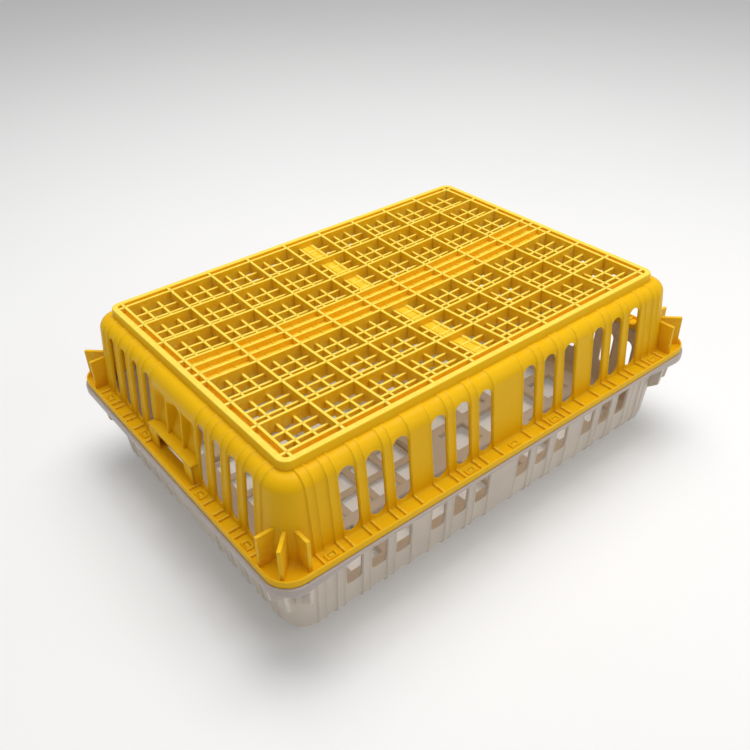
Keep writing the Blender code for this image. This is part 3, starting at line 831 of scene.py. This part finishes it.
def build_channel_floors():
    """Floors of the narrow middle channels, each with two low cross ribs in every cell."""
    bm = bmesh.new()
    top = HEIGHT - CHANNEL_DEPTH
    ys = row_lines()
    xs = column_lines()
    section = rounded_bar(0.8, top - 1.0, top + 1.3, 0.5)
    for (y0, y1), step in zip(zip(ys, ys[1:]), ROW_STEPS):
        if step != NARROW:
            continue
        add_sagging_slab(bm, (-GRID[0], y0), (GRID[0], y1), top, CHANNEL_SKIN, 28)
        for x0, x1 in zip(xs, xs[1:]):
            for x in thirds(x0, x1):
                add_bar(bm, (x, y0), (x, y1), section, 1, sag)
    return make_piece("upper_channel_floors", bm, "upper", YELLOW)


def build_edge_floor():
    """Floor of the channel that runs round the plate inside the frame band."""
    inner = (GRID[0] - 0.5, GRID[1] - 0.5, 0.5)
    outer = tuple(size - BAND_LAP for size in BAND)
    top = HEIGHT - CHANNEL_DEPTH
    sections = [(*inner, top), (*outer, top), (*outer, top - CHANNEL_SKIN), (*inner, top - CHANNEL_SKIN)]
    bm = bmesh.new()
    add_ring_loft(bm, sections)
    return make_piece("upper_edge_floor", bm, "upper", YELLOW)


def build_pads():
    """Solid pads in the middle third of the centre column's open cells, with low raised bars."""
    bm = bmesh.new()
    xs = column_lines()
    ys = row_lines()
    middle = len(xs) // 2
    x0, x1 = xs[middle - 1], xs[middle]
    left, right = thirds(x0, x1)
    top = HEIGHT - FINE_TOP - 0.8
    bar = rounded_bar(0.9, top - 1.0, top + 1.0, 0.5)
    for (y0, y1), step in zip(zip(ys, ys[1:]), ROW_STEPS):
        if step == NARROW:
            continue
        low = (left, y0)
        high = (right, y1)
        depth = RIB_DEPTH - FINE_TOP - 0.8
        slab_half = (high[0] - low[0]) / 2
        section = [(-slab_half, top - depth), (-slab_half, top), (slab_half, top), (slab_half, top - depth)]
        centre = (left + right) / 2
        add_bar(bm, (centre, y0), (centre, y1), section, 5, sag)
        for x in (left + 3.6, right - 3.6):
            add_bar(bm, (x, y0), (x, y1), bar, 5, sag)
    return make_piece("upper_plate_pads", bm, "upper", YELLOW)


# Small parts of the shells -----------------------------------------------------------------
def add_plate(bm, start, end, low, high):
    along = Vector((end[0] - start[0], end[1] - start[1])).normalized()
    across = Vector((-along.y, along.x)) * (FIN / 2)
    outline = []
    for point, sign in ((start, 1), (end, 1), (end, -1), (start, -1)):
        outline.append((point[0] + sign * across.x, point[1] + sign * across.y))
    add_loft(bm, [[(x, y, low) for x, y in outline], [(x, y, high) for x, y in outline]])


def corner_plans():
    for sx in (-1, 1):
        for sy in (-1, 1):
            for start, end in FIN_PLANS:
                yield (sx * start[0], sy * start[1]), (sx * end[0], sy * end[1])


def build_fins():
    bm = bmesh.new()
    for start, end in corner_plans():
        add_plate(bm, start, end, PARTING + 2.0, FIN_TOP)
    return make_piece("upper_corner_fins", bm, "upper", YELLOW, bevel=0.7, segments=3)


def build_gussets():
    """Hanging plates at the lower corners, between the rim and the wall."""
    bm = bmesh.new()
    top = PARTING - 2.0
    for start, end in corner_plans():
        along = Vector((end[0] - start[0], end[1] - start[1]))
        across = Vector((-along.y, along.x)).normalized() * (FIN / 2)
        foot = Vector(start) + along * GUSSET_FOOT
        corners = ((start, top), (end, top), (foot, top - GUSSET_DROP), (start, top - GUSSET_ROOT_DROP))
        outlines = []
        for sign in (1, -1):
            outline = []
            for point, z in corners:
                outline.append((point[0] + sign * across.x, point[1] + sign * across.y, z))
            outlines.append(outline)
        add_loft(bm, outlines)
    return make_piece("lower_corner_gussets", bm, "lower", WHITE, bevel=0.6, segments=2)


def flange_rib_places():
    """Places of the short ribs on the flange, where the walls' beads come down to it."""
    long_places = [edge for band in LONG_BANDS for edge in band] + [LONG_CENTRE_BAND]
    short_places = [edge for band in SHORT_BANDS for edge in band] + [SHORT_CENTRE_BAND]
    return long_places, short_places


def near_socket(place, sockets):
    return any(abs(place - socket) < SOCKET_SIZE[0] / 2 + 1.5 for socket in sockets)


def build_flange_ribs():
    section = rounded_bar(1.4, FLANGE_TOP - 1.5, FLANGE_TOP + 3.2, 1.0)
    bm = bmesh.new()
    long_places, short_places = flange_rib_places()
    for sign in (-1, 1):
        for mirror in (-1, 1):
            for x in long_places:
                if not near_socket(mirror * x, SOCKETS_LONG):
                    near, far = sign * (FOOT[1] - 1.0), sign * (FLANGE[1] - 2.0)
                    add_bar(bm, (mirror * x, near), (mirror * x, far), section)
            for y in short_places:
                if not near_socket(mirror * y, SOCKETS_SHORT):
                    near, far = sign * (FOOT[0] - 1.0), sign * (FLANGE[0] - 2.0)
                    add_bar(bm, (near, mirror * y), (far, mirror * y), section)
    return make_piece("upper_flange_ribs", bm, "upper", YELLOW)


def build_socket_frames():
    bm = bmesh.new()
    for _, x, y, turned in socket_places():
        outer = (SOCKET_SIZE[turned] / 2, SOCKET_SIZE[1 - turned] / 2)
        inner = (SOCKET_HOLE[turned] / 2, SOCKET_HOLE[1 - turned] / 2)
        high = FLANGE_TOP + SOCKET_RISE
        low = FLANGE_TOP - 1.0
        profile = (
            (outer, 0.0, 1.6, low), (outer, -0.2, 1.6, high - 1.4), (outer, -0.6, 1.4, high - 0.5),
            (outer, -1.3, 1.0, high), (inner, 0.8, 0.8, high), (inner, 0.2, 0.6, high - 0.4),
            (inner, 0.0, 0.4, high - 1.0), (inner, 0.0, 0.4, low),
        )
        rings = []
        for (hx, hy), grow, radius, z in profile:
            points = rounded_ring(hx + grow, hy + grow, radius, z)
            rings.append([vert(bm, x + px, y + py, pz) for px, py, pz in points])
        for near, far in zip(rings, rings[1:] + rings[:1]):
            bridge(bm, near, far)
    return make_piece("upper_socket_frames", bm, "upper", YELLOW)


def build_clips():
    """One prong per socket, with a tapered foot and a domed head."""
    top = PARTING + FIT_GAP + LEDGE + SOCKET_RISE - 0.6
    levels = (
        (PARTING - 10.0, 1.9), (PARTING - 9.2, 1.3), (PARTING - 6.0, 0.4), (top - 1.2, 0.4),
        (top - 0.4, 0.7), (top, 1.3),
    )
    for name, x, y, turned in socket_places():
        half = (SOCKET_HOLE[turned] / 2, SOCKET_HOLE[1 - turned] / 2)
        bm = bmesh.new()
        outlines = []
        for z, shrink in levels:
            ring = rounded_ring(half[0] - shrink, half[1] - shrink, 0.7, z)
            outlines.append([(x + px, y + py, pz) for px, py, pz in ring])
        add_loft(bm, outlines)
        make_piece(f"clip_{name}", bm, "upper", YELLOW, replaces=(f"snap_clip_{name}",))


# Hand holds --------------------------------------------------------------------------------
def add_grip_top(bm, sign):
    """A hand hold's flat top, whose back reaches deeper where the wall is hollow."""
    plan = []
    for side in (1, -1):
        ends = [(GRIP_FRONT, GRIP_HALF), (GRIP_END_BACK, GRIP_HALF), (GRIP_END_BACK, GRIP_BACK_HALF + 1.0),
                (GRIP_BACK, GRIP_BACK_HALF)]
        plan += [(sign * x, side * y) for x, y in ends[::side]]
    add_loft(bm, [[(x, y, z) for x, y in plan] for z in (GRIP_TOP - GRIP_SKIN, GRIP_TOP)])


def arch_web(sign):
    """Front web of a hand hold as points across and up: legs joined over a round-cornered arch."""
    low = PARTING + FIT_GAP + 2.0
    top = GRIP_TOP - 1.0
    points = [(-GRIP_HALF, low), (-GRIP_HALF, top), (GRIP_HALF, top), (GRIP_HALF, low), (GRIP_ARCH_HALF, low)]
    radius = 5.0
    for side in (1, -1):
        angles = range(0, 91, 15) if side == 1 else range(90, 181, 15)
        for degrees in angles:
            angle = math.radians(degrees)
            across = side * (GRIP_ARCH_HALF - radius) + radius * math.cos(angle)
            points.append((across, GRIP_ARCH_TOP - radius + radius * math.sin(angle)))
    points.append((-GRIP_ARCH_HALF, low))
    return points


def build_hand_holds():
    bm = bmesh.new()
    low = PARTING + FIT_GAP + 2.0
    for sign in (-1, 1):
        add_grip_top(bm, sign)
        for side in (-1, 1):
            legs = []
            for across in sorted((side * GRIP_HALF, side * (GRIP_HALF - GRIP_SKIN))):
                corners = (
                    (GRIP_LEG_FOOT, low), (GRIP_FRONT, low), (GRIP_FRONT, GRIP_TOP), (GRIP_LEG_TOP, GRIP_TOP),
                )
                legs.append([(sign * x, across, z) for x, z in corners])
            add_loft(bm, legs)
        web = arch_web(sign)
        outlines = []
        for x in (GRIP_FRONT - GRIP_SKIN, GRIP_FRONT):
            outlines.append([(sign * x, across, up) for across, up in web])
        add_loft(bm, outlines)
    return make_piece("upper_hand_holds", bm, "upper", YELLOW, bevel=0.7, segments=3)


# Lower floor and door ------------------------------------------------------------------------
def even_lines(low, high, count):
    return [low + (high - low) * index / count for index in range(count + 1)]


def floor_openings():
    """Openings between the floor's bars, and the door's opening, as x and y ranges."""
    half = FLOOR_BAR / 2
    xs = even_lines(-GRID[0], GRID[0], FLOOR_COLUMNS)
    middle = even_lines(-DOOR_Y - half, DOOR_Y + half, 4)
    rows = [(y0 + half, y1 - half) for y0, y1 in zip(middle, middle[1:])]
    outer = (DOOR_Y + DOOR_OVERLAP + 8.0, GRID[1] - 4.0)
    rows = [(-outer[1], -outer[0])] + rows + [outer]
    openings = [((DOOR_X[0], DOOR_X[1]), (-DOOR_Y, DOOR_Y))]
    for y0, y1 in rows:
        for x0, x1 in zip(xs, xs[1:]):
            low, high = x0 + half, x1 - half
            beside = high < DOOR_X[0] - half / 1.5 or low > DOOR_X[1] + half / 1.5
            if beside or max(abs(y0), abs(y1)) > DOOR_Y + half / 1.5:
                openings.append(((low, high), (y0, y1)))
    return openings


def spread_lines(edges, fineness):
    """Grid lines at every edge, with extra ones close to each so that round bars turn smoothly."""
    lines = []
    for low, high in zip(edges, edges[1:]):
        lines.append(low)
        gap = high - low
        if gap > 3.0:
            lines += [low + min(share * fineness, gap / 2 - 0.2) for share in (0.12, 0.32, 0.62)]
            lines += [high - min(share * fineness, gap / 2 - 0.2) for share in (0.62, 0.32, 0.12)]
    lines.append(edges[-1])
    kept = []
    for line in sorted(lines):
        if not kept or line - kept[-1] > 0.05:
            kept.append(line)
    return kept


def distance_to_opening(x, y, openings):
    nearest = 1000.0
    for (x0, x1), (y0, y1) in openings:
        dx = max(x0 - x, 0.0, x - x1)
        dy = max(y0 - y, 0.0, y - y1)
        nearest = min(nearest, math.hypot(dx, dy))
    return nearest


def add_pierced_plate(bm, bounds_x, bounds_y, openings, top, under, crown, reach):
    """A plate with rectangular openings whose bars have rounded, crowned tops."""
    edges_x = sorted({bounds_x[0], bounds_x[1]} | {e for (x, _) in openings for e in x})
    edges_y = sorted({bounds_y[0], bounds_y[1]} | {e for (_, y) in openings for e in y})
    xs = spread_lines(edges_x, reach)
    ys = spread_lines(edges_y, reach)

    def is_open(i, j):
        x = (xs[i] + xs[i + 1]) / 2
        y = (ys[j] + ys[j + 1]) / 2
        return any(x0 < x < x1 and y0 < y < y1 for (x0, x1), (y0, y1) in openings)

    solid = [[not is_open(i, j) for j in range(len(ys) - 1)] for i in range(len(xs) - 1)]
    tops, lows = {}, {}

    def corner(table, i, j, upper):
        if (i, j) not in table:
            share = min(1.0, distance_to_opening(xs[i], ys[j], openings) / reach)
            z = top - crown * (1.0 - math.sqrt(1.0 - (1.0 - share) ** 2)) if upper else under
            table[(i, j)] = vert(bm, xs[i], ys[j], z)
        return table[(i, j)]

    for i, column in enumerate(solid):
        for j, filled in enumerate(column):
            if not filled:
                continue
            ring = ((i, j), (i + 1, j), (i + 1, j + 1), (i, j + 1))
            quad(bm, *[corner(tops, *place, True) for place in ring])
            quad(bm, *[corner(lows, *place, False) for place in reversed(ring)])
            sides = (((0, -1), 0, 1), ((1, 0), 1, 2), ((0, 1), 2, 3), ((-1, 0), 3, 0))
            for (di, dj), a, b in sides:
                ni, nj = i + di, j + dj
                inside = 0 <= ni < len(solid) and 0 <= nj < len(column)
                if inside and solid[ni][nj]:
                    continue
                first, second = ring[a], ring[b]
                quad(bm, corner(lows, *first, False), corner(lows, *second, False),
                     corner(tops, *second, True), corner(tops, *first, True))


def build_floor():
    bm = bmesh.new()
    reach = (BROW[0] - 7.0, BROW[1] - 7.0)
    add_pierced_plate(
        bm, (-reach[0] + 10.0, reach[0] - 10.0), (-reach[1] + 10.0, reach[1] - 10.0), floor_openings(),
        FLOOR_TOP + 2.2, FLOOR_UNDER, 3.6, FLOOR_BAR / 2,
    )
    return make_piece("lower_floor", bm, "lower", WHITE)


def door_openings(half_x, half_y):
    xs = even_lines(10.0 - half_x, half_x - 10.0, 5)
    ys = even_lines(10.0 - half_y, half_y - 10.0, 5)
    return [
        ((x0 + 6.0, x1 - 6.0), (y0 + 6.0, y1 - 6.0))
        for x0, x1 in zip(xs, xs[1:]) for y0, y1 in zip(ys, ys[1:])
    ]


def build_door():
    half_x = (DOOR_X[1] - DOOR_X[0]) / 2 + DOOR_OVERLAP
    half_y = DOOR_Y + DOOR_OVERLAP
    centre = (DOOR_X[0] + DOOR_X[1]) / 2
    openings = [((x0 + centre, x1 + centre), ys) for (x0, x1), ys in door_openings(half_x, half_y)]
    bm = bmesh.new()
    add_pierced_plate(
        bm, (centre - half_x, centre + half_x), (-half_y, half_y), openings,
        DOOR_LOW + DOOR_THICKNESS, DOOR_LOW, 1.2, 6.0,
    )
    edge = centre - half_x
    root = DOOR_LOW + 1.0
    section = [(-2.0, root), (-2.0, 3.0), (-1.2, 2.3), (1.2, 2.3), (2.0, 3.0), (2.0, root)]
    add_bar(bm, (edge + 5.0, -40.0), (edge + 5.0, 40.0), section)
    return make_piece("loading_door_panel", bm, "door", WHITE, replaces=("loading_door",))


def improve_rails():
    """The rails keep their CAD shape and get the white plastic."""
    for name in ("door_rail_front", "door_rail_back"):
        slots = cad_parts[name].material_slots
        for slot in slots:
            slot.material = WHITE


# Floor, light and camera -------------------------------------------------------------------
def build_stage():
    material = bpy.data.materials.new("studio_floor")
    material.use_nodes = True
    tree = material.node_tree
    shader = tree.nodes["Principled BSDF"]
    coords = add_node(tree, "ShaderNodeTexCoord", (-900, 0)).outputs["Object"]
    cloud = noise(tree, coords, 1.5, 3.0, (-700, 0))
    colour = mix_colour(tree, cloud, (0.79, 0.79, 0.795, 1.0), (0.83, 0.83, 0.83, 1.0), (-400, 0))
    tree.links.new(colour, shader.inputs["Base Color"])
    shader.inputs["Roughness"].default_value = 0.85
    shader.inputs["Emission Color"].default_value = (1.0, 1.0, 1.0, 1.0)
    shader.inputs["Emission Strength"].default_value = 0.12
    bm = bmesh.new()
    size = 9000.0
    below = -0.4
    corners = [vert(bm, sx * size, sy * size, below) for sx, sy in ((-1, -1), (1, -1), (1, 1), (-1, 1))]
    bm.faces.new(corners)
    mesh = bpy.data.meshes.new("studio_floor")
    bm.to_mesh(mesh)
    bm.free()
    mesh.materials.append(material)
    floor = bpy.data.objects.new("studio_floor", mesh)
    bpy.context.scene.collection.objects.link(floor)


def add_light(name, place, target, size, power, colour):
    data = bpy.data.lights.new(name, "AREA")
    data.shape = "RECTANGLE"
    data.size, data.size_y = size
    data.energy = power
    data.color = colour
    light = bpy.data.objects.new(name, data)
    light.location = place
    light.rotation_mode = "QUATERNION"
    light.rotation_quaternion = (Vector(target) - Vector(place)).to_track_quat("-Z", "Y")
    bpy.context.scene.collection.objects.link(light)


def build_lights():
    middle = (0.0, 0.0, 0.15)
    add_light("top_light", (0.3, 0.2, 2.8), middle, (2.4, 2.0), 68.0, (1.0, 0.995, 0.985))
    add_light("front_light", (1.2, -2.0, 1.7), middle, (1.6, 1.0), 9.0, (1.0, 0.99, 0.97))
    world = bpy.data.worlds.new("studio")
    world.use_nodes = True
    background = world.node_tree.nodes["Background"]
    background.inputs["Color"].default_value = (1.0, 1.0, 1.0, 1.0)
    background.inputs["Strength"].default_value = 0.30
    bpy.context.scene.world = world
    bpy.context.scene.view_settings.view_transform = "Standard"


CAMERA_AZIMUTH = -37.645                # degrees, as the elevation and the roll
CAMERA_ELEVATION = 35.393
CAMERA_ROLL = -1.967
CAMERA_DISTANCE = 1.17296
CAMERA_SHIFT = (-0.01544, -0.12307)     # sideways and upward, in the camera's own plane, in metres
CAMERA_LENS = 39.61
SENSOR_WIDTH = 36.0


def build_camera():
    azimuth = math.radians(CAMERA_AZIMUTH)
    elevation = math.radians(CAMERA_ELEVATION)
    roll = math.radians(CAMERA_ROLL)
    level = math.cos(elevation)
    back = Vector((math.sin(azimuth) * level, -math.cos(azimuth) * level, math.sin(elevation)))
    right = Vector((math.cos(azimuth), math.sin(azimuth), 0.0))
    up = back.cross(right)
    side = right * math.cos(roll) + up * math.sin(roll)
    above = up * math.cos(roll) - right * math.sin(roll)
    data = bpy.data.cameras.new("camera")
    data.lens = CAMERA_LENS
    data.sensor_width = SENSOR_WIDTH
    camera = bpy.data.objects.new("camera", data)
    top = Vector((0.0, 0.0, HEIGHT * MM))
    place = top + side * CAMERA_SHIFT[0] + above * CAMERA_SHIFT[1] + back * CAMERA_DISTANCE
    rotation = Matrix((side, above, back)).transposed()
    camera.matrix_world = Matrix.Translation(place) @ rotation.to_4x4()
    bpy.context.scene.collection.objects.link(camera)
    bpy.context.scene.camera = camera


def build_upper():
    build_wall("upper_walls", "upper", YELLOW, HEIGHT, 1, UPPER_FOOT_DEPTH, True, UPPER_GRIP_OPENING)
    build_upper_flange()
    build_frame_band("upper_frame_band", "upper", YELLOW_TOP_LIT, HEIGHT, 1)
    build_deep_ribs()
    build_edge_ribs()
    build_fine_ribs()
    build_channel_floors()
    build_edge_floor()
    build_pads()
    build_fins()
    build_flange_ribs()
    build_socket_frames()
    build_hand_holds()
    build_clips()


def build_lower():
    wall = build_wall("lower_walls", "lower", WHITE, 0.0, -1, LOWER_FOOT_DEPTH, False, LOWER_GRIP_OPENING)
    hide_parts("lower_shell")
    build_lower_rim()
    build_frame_band("lower_frame_band", "lower", WHITE, 0.0, -1)
    build_gussets()
    build_floor()
    build_door()
    improve_rails()


build_camera()
build_upper()
build_lower()
build_stage()
build_lights()
